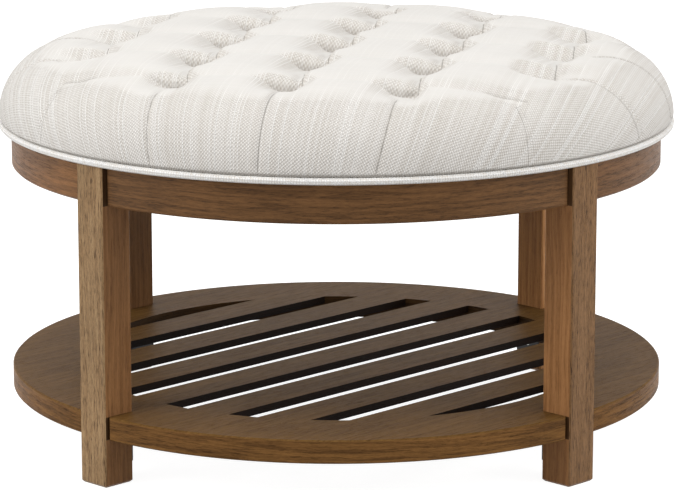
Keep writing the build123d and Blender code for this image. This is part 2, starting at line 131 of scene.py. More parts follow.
def wood_material(
    name, place, tones, grain_axis=0, seed=0.0, rough=0.46, pores=0.5, gloss=0.15, other=None, inner_shade_reach=None,
    end_stain_and_shade_share=None, joints=()
):
    """Wood with long growth bands and open pores that hold the stain, under a thin satin lacquer.

    It gives a soft sheen with fine dark dashes. place(tree) is a vector in metres, with the grain along grain_axis.
    tones are the light band, the dark band and the pores. other is (mask direction, either way, place, tones,
    pores) for faces cut another way. Painted shade darkens faces other than tops nearer to the table's axis than
    inner_shade_reach, and side faces where boards meet them, by their heights in joints. A bent board's end grain is
    darker by end_stain_and_shade_share, partly as the stain that end grain soaks up and partly as painted shade beside
    the legs.
    """
    material, tree = new_material(name)
    at = place(tree)
    light, dark, pore = [colour(tone) for tone in tones]
    if other:
        direction, either_way, other_place, other_tones, other_pores = other
        mask = faces_along(tree, direction, either_way)
        pores = node(tree, "MapRange", mask, 0.0, 1.0, pores, other_pores)
        at = node(tree, "Mix", {0: mask, 4: at, 5: other_place(tree)}, data_type="VECTOR")
        light, dark, pore = [
            node(tree, "Mix", {0: mask, 6: colour(first), 7: colour(second)}, data_type="RGBA")
            for first, second in zip(tones, other_tones)
        ]
    # each board is cut from another place in the wood
    at = node(tree, "VectorMath", at, (seed, seed * 0.7, seed * 1.3), operation="ADD")

    def grain(across, along):
        """The place on the board, counted in steps of so many millimetres across the grain and along it."""
        steps = [1 / (across * mm)] * 3
        steps[grain_axis] = 1 / (along * mm)
        return node(tree, "VectorMath", at, tuple(steps), operation="MULTIPLY")

    def noise(places, detail=3.0):
        return node(tree, "TexNoise", {"Vector": places, "Scale": 1.0, "Detail": detail, "Roughness": 0.6})

    # the bands wander a little, as they do in a flat-sawn board
    wander = (band_wander / band_size[0],) * 3
    drift = node(tree, "VectorMath", (noise(grain(*wander_size)), "Color"), wander, operation="MULTIPLY")
    bands = noise(node(tree, "VectorMath", grain(*band_size), drift, operation="ADD"), 4.0)
    pits = noise(grain(*pore_size))
    hairs = noise(grain(*hair_size), 2.0)
    base = node(tree, "Mix", {0: node(tree, "MapRange", bands, 0.38, 0.62), 6: dark, 7: light}, data_type="RGBA")
    # pores crowd together in the early wood of each band
    crowd = node(tree, "MapRange", bands, 0.42, 0.60, 1.0, 0.35)
    pitted = node(tree, "Math", node(tree, "MapRange", pits, 0.53, 0.60), crowd, operation="MULTIPLY")
    lined = node(tree, "MapRange", hairs, 0.5, 0.66, 0.0, 0.6)
    for mark in (pitted, lined):
        strength = node(tree, "Math", mark, pores, operation="MULTIPLY")
        base = node(tree, "Mix", {0: strength, 6: base, 7: pore}, data_type="RGBA")

    shades = [node(tree, "MapRange", noise(grain(*cloud_size)), 0.3, 0.7, 0.86, 1.1)]
    # painted shade on faces other than tops, darker nearer to the table's axis
    if inner_shade_reach:
        reach = (node(tree, "SeparateXYZ", place(tree)), 1)
        dim = node(tree, "MapRange", reach, inner_shade_reach, inner_shade_reach + inner_shade_blur * mm, 0.3, 1.0)
        shades.append(node(tree, "Math", dim, faces_along(tree, (0, 0, 1), True), operation="MAXIMUM"))
    # painted shade on side faces at the heights where the shelf's rim and the rails meet them
    for low, high in joints:
        height = (node(tree, "SeparateXYZ", place(tree)), 2)
        above = node(tree, "MapRange", height, low, low + joint_shade_blur * mm)
        below = node(tree, "MapRange", height, high - joint_shade_blur * mm, high, 1.0, 0.0)
        met = node(tree, "Math", above, below, operation="MULTIPLY")
        met = node(tree, "Math", met, node(tree, "Math", 1.0, mask, operation="SUBTRACT"), operation="MULTIPLY")
        shades.append(node(tree, "MapRange", met, 0.0, 1.0, 1.0, 0.22))
    # end grain painted darker: partly the stain it soaks up, partly painted shade beside the legs
    if end_stain_and_shade_share:
        source = node(tree, "TexCoord")
        out = node(tree, "VectorMath", (source, "Object"), (1, 1, 0), operation="MULTIPLY")
        out = node(tree, "VectorMath", out, operation="NORMALIZE")
        across = node(tree, "VectorMath", out, (source, "Normal"), operation="CROSS_PRODUCT")
        across = node(tree, "Math", (node(tree, "SeparateXYZ", across), 2), operation="ABSOLUTE")
        shades.append(node(tree, "MapRange", across, 0.4, 0.6, 1.0, end_stain_and_shade_share))
    for shade in shades:
        base = node(tree, "Mix", {0: 1.0, 6: base, 7: shade}, data_type="RGBA", blend_type="MULTIPLY")

    height = node(tree, "Math", pitted, -1.0, operation="MULTIPLY")
    height = node(tree, "Math", hairs, 0.35, height, operation="MULTIPLY_ADD")
    node(tree, "OutputMaterial", node(tree, "BsdfPrincipled", {
        "Base Color": base,
        "Roughness": node(tree, "MapRange", pits, 0.4, 0.7, rough - 0.04, rough + 0.1),
        "Specular IOR Level": gloss,
        "Normal": node(tree, "Bump", {"Height": height, "Strength": 0.4, "Distance": pore_depth * mm}),
    }))
    return material


# the side faces' tones, and the outer faces' tones painted paler: partly flat-sawn wood, partly a painted sheen of the
# lamps in front
side_tones = ("946a43", "7e5734", "4c2f1a")
face_tones = ("b8966e", "a17f58", "4a321d")
brown_face_tones = ("b68a5e", "9f744a", "49301b")
# where each leg stands, in degrees, and how much lighter or darker its outer face and its side faces are painted:
# partly the stain each board took and partly painted light, as the lamps fall on each face
legs = {
    "front_left": (225, 0.93, 1.02), "front_right": (315, 0.8, 1.2),
    "back_right": (45, 1.0, 1.26), "back_left": (135, 1.0, 0.95),
}
# heights on the legs' side faces that get painted shade, in the narrow gaps beside the shelf's rim and the rails
shelf_shade_heights = (56.2 * mm, 83 * mm)
apron_shade_heights = (325.2 * mm, 371 * mm)
for index, (place, (azimuth, face_share, side_share)) in enumerate(legs.items()):
    outwards = (cos(radians(azimuth)), sin(radians(azimuth)), 0)
    tones = brown_face_tones if place == "front_right" else face_tones
    dress([f"leg_{place}"], wood_material(
        f"ash_leg_{index + 1}", straight(45), stain_and_light_toned(side_tones, side_share), grain_axis=2,
        seed=1.7 * index + 0.3, pores=0.35,
        other=(outwards, False, straight(45), stain_and_light_toned(tones, face_share), 0.85), joints=(shelf_shade_heights, apron_shade_heights),
    ))

# -------- apron
# Four rails of the same ash, sawn to the curve of the seat, with the grain along them. Each stops just short of
# the legs, where its end grain is painted dark, partly as the stain end grain soaks up and partly as painted shade
# beside the leg, and is screwed to the corner blocks behind it.
apron_tones = ("825b37", "664627", "382210")
# how much lighter or darker each rail is painted: partly the stain each board took and partly painted light, as the
# lamps fall on each side; the left rail is lighter as a painted sheen where light grazes it
apron_stain_and_light_shares = {"front": 0.93, "right": 0.96, "back": 1.0, "left": 1.12}
apron_reach = 385 * mm


def bent(radius):
    """Places on a board bent round the upright axis: length along the bend, reach and height, in metres."""
    def place(tree):
        source = (node(tree, "TexCoord"), "Object")
        parts = node(tree, "SeparateXYZ", source)
        angle = node(tree, "Math", (parts, 1), (parts, 0), operation="ARCTAN2")
        length = node(tree, "Math", angle, radius, operation="MULTIPLY")
        reach = node(tree, "VectorMath", source, (1, 1, 0), operation="MULTIPLY")
        reach = node(tree, "VectorMath", reach, operation="LENGTH")
        return node(tree, "CombineXYZ", length, reach, (parts, 2))
    return place


for index, (place, share) in enumerate(apron_stain_and_light_shares.items()):
    dress([f"apron_{place}"], wood_material(
        f"ash_apron_{index + 1}", bent(apron_reach), stain_and_light_toned(apron_tones, share), seed=2.9 * index + 5.0,
        pores=0.6, end_stain_and_shade_share=0.3,
    ))

# -------- shelf
# A rim in four quarters, dowelled end to end around the legs, and seven slats glued into seats in it. The grain
# lies along the slats' diagonal; on the rim's edge it shows as long wavy lines. The slats' edges are painted
# near-black, painted shade between the slats, and the rim's faces other than its top carry painted shade towards the
# inside.
top_tones = ("7b5a30", "694a26", "3c2914")
edge_tones = ("865f35", "654627", "3a2511")
# near-black: painted shade on the slats' side faces
slat_edge_shade_tones = ("1e130d", "160e09", "0e0906")
shelf_reach = 388 * mm
# rim faces other than tops nearer the axis than this get painted shade
rim_shade_reach = 330 * mm
shelf_gloss = 0.05
shelf_top = ((0, 0, 1), True, straight(45), top_tones, 0.4)
for index, place in enumerate(["front", "right", "back", "left"]):
    dress([f"shelf_rim_{place}"], wood_material(
        f"ash_rim_{index + 1}", bent(shelf_reach), edge_tones, seed=3.1 * index + 9.0, pores=0.6,
        gloss=shelf_gloss, other=shelf_top, inner_shade_reach=rim_shade_reach, end_stain_and_shade_share=0.3,
    ))
for number in range(1, 8):
    dress([f"shelf_slat_{number}"], wood_material(
        f"ash_slat_{number}", straight(45), slat_edge_shade_tones, seed=1.3 * number + 21.0, pores=0.3,
        gloss=shelf_gloss, other=shelf_top,
    ))

# -------- corner blocks, dowels and seat board
# Bare pine blocks, glued and screwed into the apron's corners, beech dowels in the rim's joints, and a birch
# plywood board on the apron, which carries the foam. None is stained or lacquered, so they stay pale and dull.
pine = wood_material("pine_block", straight(0), ("d9bd8e", "c29f6c", "a5814f"), pores=0.4, rough=0.65)
dress([f"corner_block_{place}" for place in legs], pine)
beech = wood_material("beech_dowel", straight(-45), ("cfa77c", "b98d60", "98704a"), pores=0.4)
dress(["rim_dowels"], beech)
plywood = wood_material("birch_plywood", straight(0), ("d3b384", "bb9767", "96754b"), grain_axis=1, rough=0.65)
dress(["seat_board"], plywood)

# -------- bolts, screws and brackets
# Zinc-plated bolts, washers and nuts that pull the legs to their blocks, zinc-plated wood screws, and folded
# steel brackets with a black powder coat that carry the shelf.
handling_mark = 2.381
worn_patch = 16.667


def metal_material(name, tone, rough, metallic):
    """Plated or coated steel: an even tone that handling has left a little blotched and uneven in its shine."""
    material, tree = new_material(name)
    at = (node(tree, "TexCoord"), "Object")
    marks = node(tree, "TexNoise", {"Vector": at, "Scale": 1 / (handling_mark * mm), "Detail": 3.0})
    patches = node(tree, "TexNoise", {"Vector": at, "Scale": 1 / (worn_patch * mm), "Detail": 2.0})
    shade = node(tree, "MapRange", patches, 0.3, 0.7, 0.82, 1.08)
    node(tree, "OutputMaterial", node(tree, "BsdfPrincipled", {
        "Base Color": node(tree, "Mix", {0: 1.0, 6: colour(tone), 7: shade}, data_type="RGBA", blend_type="MULTIPLY"),
        "Metallic": metallic,
        "Roughness": node(tree, "MapRange", marks, 0.3, 0.7, rough - 0.08, rough + 0.1),
        "Normal": node(tree, "Bump", {"Height": marks, "Strength": 0.15, "Distance": 0.1 * mm}),
    }))
    return material


zinc = metal_material("zinc_plate", "b9bbb8", 0.34, 1.0)
dress(["leg_bolts", "leg_washers", "leg_nuts", "rail_screws", "seat_screws", "bracket_screws"], zinc)
black_steel = metal_material("black_powder_coat", "1b1b1c", 0.5, 0.0)
dress(["shelf_brackets"], black_steel)

# -------- tufted seat
# Linen over quilted wadding, pulled down at 25 tufts with no buttons on a square grid that is turned a little,
# then over the foam's shoulder in pleats and under the board. Soft, crowned, and flat only under the board.

# The linen is a slubby plain weave. Its warp runs straight over the seat, and here and there one of its threads is
# thick and pale for a hand's length. Real threads are about 0.7 mm apart, too fine to show, so they are drawn coarser.
thread_pitch = 2.1
thread_wobble = 0.6
wobble_length = 33.333
slub_width = 6
slub_length = 250
patch_size = 71.429
thread_height = 0.9
# gap is painted shade in the weave's holes and furrows, and fold is painted shade along folds and the seam
linen_tones = {
    "thin": "c9c0b4", "plain": "dddad5", "thick": "ebe7e2", "slub": "faf8f4", "gap": "93826f", "fold": "665d52"
}


def linen_material(name, folded, share=1.0):
    """Linen as it comes from the loom: a dull, ribbed, uneven white.

    The map named cloth gives places on it in metres along its two ways. Where it is folded, the attribute named
    folds gives lines of painted shade along the folds and the seam. Where the seat slopes the threads' bumps are
    stronger and their tones show more, with painted shade in holes and furrows and painted highlights on crowns and
    slubs, as raking light would show them; where it faces up all of these are faint.
    """
    material, tree = new_material(name)
    thin, plain, thick, slub_tone, gap, fold_shade_tone = [colour(tone) for tone in stain_and_light_toned(linen_tones.values(), share)]
    slope = node(tree, "SeparateXYZ", (node(tree, "NewGeometry"), "Normal"))
    # painted light: the threads' tones, shade and highlights show most where the seat slopes, as in raking light; it
    # also sets the bump's strength
    relief = node(tree, "MapRange", (slope, 2), 0.92, 0.985, 1.0, 0.12)
    at = node(tree, "UVMap", uv_map="cloth")
    wobble = node(tree, "TexNoise", {"Vector": at, "Scale": 1 / (wobble_length * mm), "Detail": 1.0})
    aside = (thread_wobble * mm, thread_wobble * mm, 0.0)
    wobble = node(tree, "VectorMath", (wobble, "Color"), aside, operation="MULTIPLY")
    lie = node(tree, "VectorMath", at, wobble, operation="ADD")
    parts = node(tree, "SeparateXYZ", lie)

    def threads(axis, seed):
        """A number of its own for each thread that axis counts, and the thread's wave across its width."""
        turns = node(tree, "Math", (parts, axis), thread_pitch * mm, operation="DIVIDE")
        number = node(tree, "Math", node(tree, "Math", turns, operation="FLOOR"), seed, operation="ADD")
        wave = node(tree, "Math", node(tree, "Math", turns, pi, operation="MULTIPLY"), operation="SINE")
        return node(tree, "TexWhiteNoise", {"W": number}, noise_dimensions="1D"), wave

    warp, warp_wave = threads(0, 31.0)
    weft, weft_wave = threads(1, 7.0)
    warp_round = node(tree, "Math", warp_wave, operation="ABSOLUTE")
    over = node(tree, "Math", warp_wave, weft_wave, operation="MULTIPLY")
    spot = node(tree, "VectorMath", lie, (1 / (slub_width * mm), 1 / (slub_length * mm), 1.0), operation="MULTIPLY")
    spot = node(tree, "VectorMath", spot, (3.0, 3.0, 3.0), operation="ADD")
    spot = node(tree, "TexNoise", {"Vector": spot, "Scale": 1.0, "Detail": 2.0})
    slub = node(tree, "MapRange", warp, 0.80, 0.86)
    for mask in (
        node(tree, "MapRange", spot, 0.38, 0.48), node(tree, "Math", warp_round, 3.0, operation="POWER"), relief
    ):
        slub = node(tree, "Math", slub, mask, operation="MULTIPLY")

    tint = node(tree, "Mix", {0: node(tree, "MapRange", warp, 0.0, 0.8), 6: thin, 7: thick}, data_type="RGBA")
    strength = node(tree, "Math", relief, 0.45, operation="MULTIPLY")
    tint = node(tree, "Mix", {0: strength, 6: plain, 7: tint}, data_type="RGBA")
    patch = node(tree, "TexNoise", {"Vector": at, "Scale": 1 / (patch_size * mm), "Detail": 3.0})
    # painted shade in the holes between threads and the furrows between the warp's ribs, painted highlights on the
    # crowns where a thread lies on top, and the slubs, all showing most where the seat slopes
    layers = [
        (node(tree, "MapRange", weft, 0.0, 1.0, 0.0, 0.18), 1.0, thick),
        (node(tree, "MapRange", patch, 0.35, 0.65, 0.0, 0.25), 1.0, thick),
        (node(tree, "MapRange", over, -1.0, -0.1, 0.26, 0.0), relief, gap),
        (node(tree, "MapRange", warp_round, 0.1, 0.6, 0.2, 0.0), relief, gap),
        (node(tree, "MapRange", over, 0.2, 0.9, 0.0, 0.6), relief, slub_tone),
        (slub, 0.9, slub_tone),
    ]
    # painted shade along the folds and the seam
    if folded:
        folds = node(tree, "Attribute", attribute_name="folds")
        fold_parts = node(tree, "SeparateXYZ", folds)
        lines = []
        for away, sharp, dark in (((fold_parts, 0), (fold_parts, 2), 1.0), ((fold_parts, 1), (folds, "Alpha"), 0.6)):
            away = node(tree, "Math", away, operation="ABSOLUTE")
            line = node(tree, "MapRange", away, 0.1, 1.1, dark, 0.0)
            lines.append(node(tree, "Math", line, sharp, operation="MULTIPLY"))
        layers.append((node(tree, "Math", *lines, operation="MAXIMUM"), 0.6, fold_shade_tone))
    for mask, strength, tone in layers:
        strength = node(tree, "Math", mask, strength, operation="MULTIPLY")
        tint = node(tree, "Mix", {0: strength, 6: tint, 7: tone}, data_type="RGBA")

    height = node(tree, "Math", over, 0.5, operation="MULTIPLY")
    height = node(tree, "Math", slub, 0.5, height, operation="MULTIPLY_ADD")
    node(tree, "OutputMaterial", node(tree, "BsdfPrincipled", {
        "Base Color": tint,
        "Roughness": 0.9,
        "Specular IOR Level": 0.15,
        "Sheen Weight": 0.15,
        "Sheen Roughness": 0.5,
        "Normal": node(tree, "Bump", {"Height": height, "Strength": relief, "Distance": thread_height * mm}),
    }))
    return material


linen = linen_material("ivory_linen", True)

# What the cover goes over and round, in millimetres
board_radius = 390.7
board_bottom = 373
tape_top = 372
skirt_radius = 391.7
skirt_bottom = 375.5
skirt_top = 378.9
hem_inner = 350.7
ceiling = 440.3
bevel = 40
ceiling_radii = (board_radius - bevel, board_radius - 2 * bevel, 200, 60)

# The cushion's outline: a lip over the piping, a shoulder, a flatter brow and a crown
widest_radius = 399.3
widest_height = 382.8
lip_inset = 2.8
lip_drop = 3.2
lip_points = 8
shoulder_radius = 76
shoulder_turn = radians(73)
brow_radius = 350
brow_turn = radians(15.7)
brow_points = 30
curve_points = 60

# The cloth and its tufts
tuft_pitch = 133
tuft_turn = radians(-12.7)
tuft_steps = range(-2, 3)
outer_step = 2
corner_reach = 352
skin_step = tuft_pitch / 28
core_count = 62
edge_fade = 10
normal_step = 0.5
wadding_cover = 3.2
cloth_cover = 1.4


def skin_profile():
    """Radius and height against the length along the skin from the middle of the crown."""
    x = widest_radius - shoulder_radius
    shoulder = [
        (x + shoulder_radius * cos(a), widest_height + shoulder_radius * sin(a))
        for a in np.linspace(0, shoulder_turn, curve_points)
    ]
    x = shoulder[-1][0] - brow_radius * cos(shoulder_turn)
    y = shoulder[-1][1] - brow_radius * sin(shoulder_turn)
    brow = [
        (x + brow_radius * cos(a), y + brow_radius * sin(a))
        for a in np.linspace(shoulder_turn, shoulder_turn + brow_turn, brow_points)[1:]
    ]
    crown_radius, crown_base = brow[-1]
    slope = tan(pi / 2 - shoulder_turn - brow_turn)
    crown = [
        (r, crown_base + slope * (crown_radius ** 2 - r ** 2) / (2 * crown_radius))
        for r in np.linspace(crown_radius, 0, curve_points)[1:]
    ]
    lip = [
        (widest_radius - lip_inset * t ** 2, widest_height - lip_drop * t) for t in np.linspace(0, 1, lip_points)[1:]
    ]
    points = np.array((shoulder + brow + crown)[::-1] + lip)
    lengths = np.concatenate([[0], np.cumsum(np.hypot(*np.diff(points, axis=0).T))])
    return points, lengths


profile, profile_length = skin_profile()
skin_end = profile_length[-1]


def on_profile(length):
    return np.interp(length, profile_length, profile[:, 0]), np.interp(length, profile_length, profile[:, 1])


def length_at_radius(radius):
    top = profile[:, 0].argmax()
    return float(np.interp(radius, profile[:top + 1, 0], profile_length[:top + 1]))


def is_corner(i, j):
    return abs(i) == outer_step and abs(j) == outer_step


def outward_way(i, j):
    """The way along the grid, away from the middle, at an outer tuft, and nothing at an inner one."""
    if abs(i) == outer_step:
        return i / outer_step, 0
    return (0, j / outer_step) if abs(j) == outer_step else None


# Tufts by their steps along the grid, in the cloth's own plane: their reach is measured along the skin
tufts = {}
for i in tuft_steps:
    for j in tuft_steps:
        length = length_at_radius(corner_reach if is_corner(i, j) else hypot(i, j) * tuft_pitch)
        turn = atan2(j, i)
        tufts[i, j] = (length * cos(turn), length * sin(turn))


def segment_distance(p, q, ax, ay, bx, by):
    """How far each point is from a segment, and how far along it the nearest place lies, from 0 to 1."""
    dx, dy = bx - ax, by - ay
    t = np.clip(((p - ax) * dx + (q - ay) * dy) / (dx * dx + dy * dy), 0, 1)
    return np.hypot(p - ax - t * dx, q - ay - t * dy), t


def falling(distance, start, end):
    """1 before start, 0 after end and an S curve between them."""
    t = np.clip((distance - start) / (end - start), 0, 1)
    return 1 - t * t * (3 - 2 * t)


# The nip at a tuft, by how far from its middle it starts and stops to rise on each side
nip_left = (10, 24)
nip_right = (15, 20)
nip_front = (5, 11)
nip_back = (-4, 24)
nip_floor = 4
corner_nip_floor = 2


def nip(x, y):
    """The nip at a tuft itself, 1 at its floor: steep in front and at the fold on its right."""
    side = np.where(x < 0, falling(-x, *nip_left), falling(x, *nip_right))
    ends = np.where(y < 0, falling(-y, *nip_front), falling(y, *nip_back))
    return side * ends


# A fold lies between two tufts. It crosses from the right of the front one to the left of the one behind.
fold_start = 17
fold_crossing = 25


def fold_shift(t):
    """How far right of the line between two tufts their fold lies, at the share t of the way."""
    return fold_start - fold_crossing * t ** 1.5


corner_fan = 9.0
side_pleat_lean = -0.05
end_pleat_lean = 0.13


def pleat_way(a, b, wx, wy):
    """The way of a pleat from an outer tuft: nearly straight on along the grid, or outwards from a corner tuft."""
    fan = corner_fan if abs(abs(a) - abs(b)) < 1 else end_pleat_lean if wy else side_pleat_lean
    x, y = wx + fan * a / hypot(a, b), wy + fan * b / hypot(a, b)
    return x / hypot(x, y), y / hypot(x, y)


# The lip in front of a tuft: all of them lie at one height
lip_level = 451
lip_left_spread = 30
lip_right_near = (17, 26)
lip_right_far = (17, 50)


def lip_depth(a, b):
    """How deep the stuffing is drawn down in front of a tuft."""
    return on_profile(hypot(a, b))[1] - lip_level


def across_lip(x):
    """The hollow across a tuft's lip: soft on its left, and steep where the next pillow begins on its right."""
    steep = 0.5 * falling(x, *lip_right_near) + 0.5 * falling(x, *lip_right_far)
    return np.where(x < 0, np.exp(-((np.abs(x) / lip_left_spread) ** 1.9)), steep)


# How far the stuffing's hollows spread, and how deep those without a tuft are
start_share = 0.4
corner_share = 0.4
fold_left_spread = 30
fold_right_spread = 3.5
fold_end_spread = 4
lip_end_spread = 9
lip_start_share = 0.2
lip_blend_share = 0.35
cross_depth = 4
cross_spread = 22
pleat_hollow_length = 70
pleat_hollow_spread = 31
back_pleat_share = 0.45


def soft_depth(p, q):
    """How deep the stuffing is drawn down at a place on the cloth, in millimetres.

    Behind each tuft the cloth rises steeply, then sinks gently towards the next one, left of a slanting fold.
    """
    valley = np.zeros_like(p)
    drawn = np.zeros_like(p)
    for (i, j), (a, b) in tufts.items():
        if (i, j + 1) in tufts:
            c, d = tufts[i, j + 1]
            _, t = segment_distance(p, q, a, b, c, d)
            x = p - a - (c - a) * t
            beyond = np.maximum(0, np.maximum(b - q, q - d))
            off = x - fold_shift(t)
            beside = np.where(
                off < 0, np.exp(-((np.abs(off) / fold_left_spread) ** 1.3)), np.exp(-np.abs(off) / fold_right_spread)
            ) * np.exp(-beyond / fold_end_spread)
            near_lip = across_lip(x) * np.exp(-beyond / lip_end_spread)
            start, end = start_share * lip_depth(a, b), lip_depth(c, d)
            deep = (start + (end - start) * t ** 1.6) * (corner_share if is_corner(i, j) or is_corner(i, j + 1) else 1)
            near = np.clip((t - lip_start_share) / lip_blend_share, 0, 1)
            valley = np.maximum(valley, deep * ((1 - near) * beside + near * near_lip))
        if (i + 1, j) in tufts:
            distance, _ = segment_distance(p, q, a, b, *tufts[i + 1, j])
            valley = np.maximum(valley, cross_depth * np.exp(-((distance / cross_spread) ** 1.2)))
        way = outward_way(i, j)
        if way and not is_corner(i, j):
            wx, wy = way
            distance, t = segment_distance(p, q, a, b, a + wx * pleat_hollow_length, b + wy * pleat_hollow_length)
            deep = lip_depth(a, b) * np.exp(-2.2 * t ** 2) * (back_pleat_share if wy > 0 else 1)
            if wy < 0:
                across = across_lip(p - a) * np.exp(-np.maximum(0, q - b) / lip_end_spread)
            else:
                across = np.exp(-((distance / pleat_hollow_spread) ** 3))
            valley = np.maximum(valley, deep * across)
        drawn = np.maximum(drawn, (corner_nip_floor if is_corner(i, j) else nip_floor) * nip(p - a, q - b))
    return valley + drawn


# Folds and pleats: how deep they are, and how far they spread to each side
fold_depth = 0.8
fold_nip_depth = 3.2
fold_left_reach = 7
fold_right_reach = 1.6
fold_end_reach = 3
cross_fold_depth = 0.4
cross_fold_nip_depth = 1.4
cross_fold_reach = 4
pleat_depth = 3.6
corner_pleat_depth = 2
pleat_shallowing = 1
pleat_reach = 2.2
pleat_start = 14
pleat_start_length = 30


def crease_depth(p, q):
    """How deep the folds between tufts and the pleats over the shoulder are, in millimetres."""
    depth = np.zeros_like(p)
    for (i, j), (a, b) in tufts.items():
        corner = is_corner(i, j)
        if (i, j + 1) in tufts and not corner:
            c, d = tufts[i, j + 1]
            _, t = segment_distance(p, q, a, b, c, d)
            x = p - a - (c - a) * t - fold_shift(t)
            # the fold is steep on its right and soft on its left, and dies away towards the next tuft
            side = np.where(x < 0, np.exp(x / fold_left_reach), np.exp(-x / fold_right_reach))
            beyond = np.maximum(0, np.maximum(b - q, q - d))
            deep = fold_depth + fold_nip_depth * (1 - t) ** 3
            depth = np.maximum(depth, deep * side * np.exp(-beyond / fold_end_reach))
        if (i + 1, j) in tufts:
            distance, t = segment_distance(p, q, a, b, *tufts[i + 1, j])
            deep = cross_fold_depth + cross_fold_nip_depth * np.abs(2 * t - 1) ** 4
            depth = np.maximum(depth, deep * np.exp(-distance / cross_fold_reach))
        way = (a / hypot(a, b), b / hypot(a, b)) if corner else outward_way(i, j)
        if way:
            wx, wy = pleat_way(a, b, *way)
            along = a * wx + b * wy
            run = -along + sqrt(along ** 2 + skin_end ** 2 - a ** 2 - b ** 2)
            distance, t = segment_distance(p, q, a, b, a + wx * run, b + wy * run)
            begun = np.clip((t * run - pleat_start) / pleat_start_length, 0, 1)
            deep = (corner_pleat_depth if corner else pleat_depth) - pleat_shallowing * t
            depth = np.maximum(depth, begun * deep * np.exp(-distance / pleat_reach))
    return depth


# How dark the lines of painted shade along folds show, and where they fade, by the distance from a tuft
front_slant = 14
back_slant = 24
pleat_line = 0.8
pleat_line_start = 26
outer_pleat_line_start = 4
line_fade = 14
corner_line = 0.6
corner_line_fade = (20, 34)
front_line = 0.7
front_line_fade = (12, 30)
back_line_fade = (12, 18)
fold_line_middle = 20
fold_line_fade = (24, 46)
lip_shade_spread = 6
line_reach = 8
seam_line = 1.6
seam_inset = 2
seam_width = 2.4


# The linen draws these as lines of painted shade.
def fold_shade_lines(p, q):
    """For each place, its distance from the nearest fold along the warp and along the weft, and how sharp each is.

    The sign of a distance changes at every fold and nowhere else, so that it can be blended between points.
    """
    found = []
    for flip in (False, True):
        # along the warp the folds slant from tuft to tuft; along the weft each tuft has a short nip in front
        x, y = (q, p) if flip else (p, q)
        nearest = np.full_like(p, np.inf)
        sharp = np.zeros_like(p)
        for i in tuft_steps:
            across, along = zip(*[tufts[j, i][::-1] if flip else tufts[i, j] for j in tuft_steps])
            outer = abs(i) == outer_step
            between = (y > along[0] - front_slant) & (y < along[-1] + back_slant)
            slant = np.interp(y, along, range(len(along))) % 1.0
            offset = 0.0 if flip else np.where(between, fold_shift(slant), 0.0)
            beyond = np.maximum(np.maximum(along[0] - y, y - along[-1]), 0)
            for end, side in ((0, y < 0), (-1, y >= 0)):
                way = pleat_way(across[end], along[end], 0, copysign(1, along[end]))
                offset = offset + np.where(side & ~between, beyond * way[0] / abs(way[1]), 0.0)
            distance = x - np.interp(y, along, across) - offset
            line_start = outer_pleat_line_start if outer else pleat_line_start
            sharp_here = pleat_line * np.clip((beyond - line_start) / line_fade, 0, 1)
            if flip and outer:
                sharp_here = np.zeros_like(p)
            for k, middle in enumerate(along):
                if outer and k in (0, len(along) - 1):
                    line = corner_line * falling(np.abs(y - middle), *corner_line_fade) * flip
                elif flip:
                    line = np.where(
                        y < middle, front_line * falling(middle - y, *front_line_fade),
                        falling(y - middle, *back_line_fade),
                    )
                else:
                    line = falling(np.abs(y - middle - fold_line_middle), *fold_line_fade) * between
                sharp_here = np.maximum(sharp_here, line)
            if flip:
                # behind the lip of a tuft the shade fades slowly
                distance = np.where(distance > 0, distance / lip_shade_spread, distance)
            closer = np.abs(distance) < np.abs(nearest)
            nearest = np.where(closer, distance * (-1) ** i, nearest)
            sharp = np.where(closer, sharp_here, sharp)
        found += [np.clip(nearest, -line_reach, line_reach), sharp]
    # painted shade along the seam under the piping
    length = np.hypot(p, q)
    at_seam = length > skin_end - line_reach
    found[2] = np.where(at_seam, (length - skin_end + seam_inset) / seam_width, found[2])
    found[3] = np.where(at_seam, seam_line, found[3])
    return found


def build_skin():
    """The cloth's plane in quads: a square grid in the middle and bands around it that turn from square to round."""
    half = core_count
    spots = {}
    flat = []
    for i in range(-half, half + 1):
        for j in range(-half, half + 1):
            spots[i, j] = len(flat)
            flat.append((i * skin_step, j * skin_step))
    side = range(-half, half)
    faces = [[spots[i, j], spots[i + 1, j], spots[i + 1, j + 1], spots[i, j + 1]] for i in side for j in side]
    edge = [(half, j) for j in side] + [(-i, half) for i in side]
    edge += [(-half, -j) for j in side] + [(i, -half) for i in side]
    turns = [pi / 4 * (k / half - 1) for k in range(len(edge))]
    ring = [spots[key] for key in edge]
    bands = round((skin_end - half * skin_step) / skin_step)
    for band in range(1, bands + 1):
        share = band / bands
        outer = range(len(flat), len(flat) + len(edge))
        for (i, j), turn in zip(edge, turns):
            x = (1 - share) * i * skin_step + share * skin_end * cos(turn)
            y = (1 - share) * j * skin_step + share * skin_end * sin(turn)
            flat.append((x, y))
        for k in range(len(edge)):
            n = (k + 1) % len(edge)
            faces.append([ring[k], outer[k], outer[n], ring[n]])
        ring = outer
    return np.array(flat), faces


def above_foam(points, cover):
    """Keeps points at least cover above the foam's flat top."""
    inside = np.hypot(*points.T[:2]) < board_radius - bevel
    points[:, 2] = np.where(inside, np.maximum(points[:, 2], ceiling + cover), points[:, 2])
    return points


def faded(flat, depth):
    """The depth, fading out at the cloth's edge."""
    return depth * np.clip((skin_end - np.hypot(*flat.T)) / edge_fade, 0, 1)


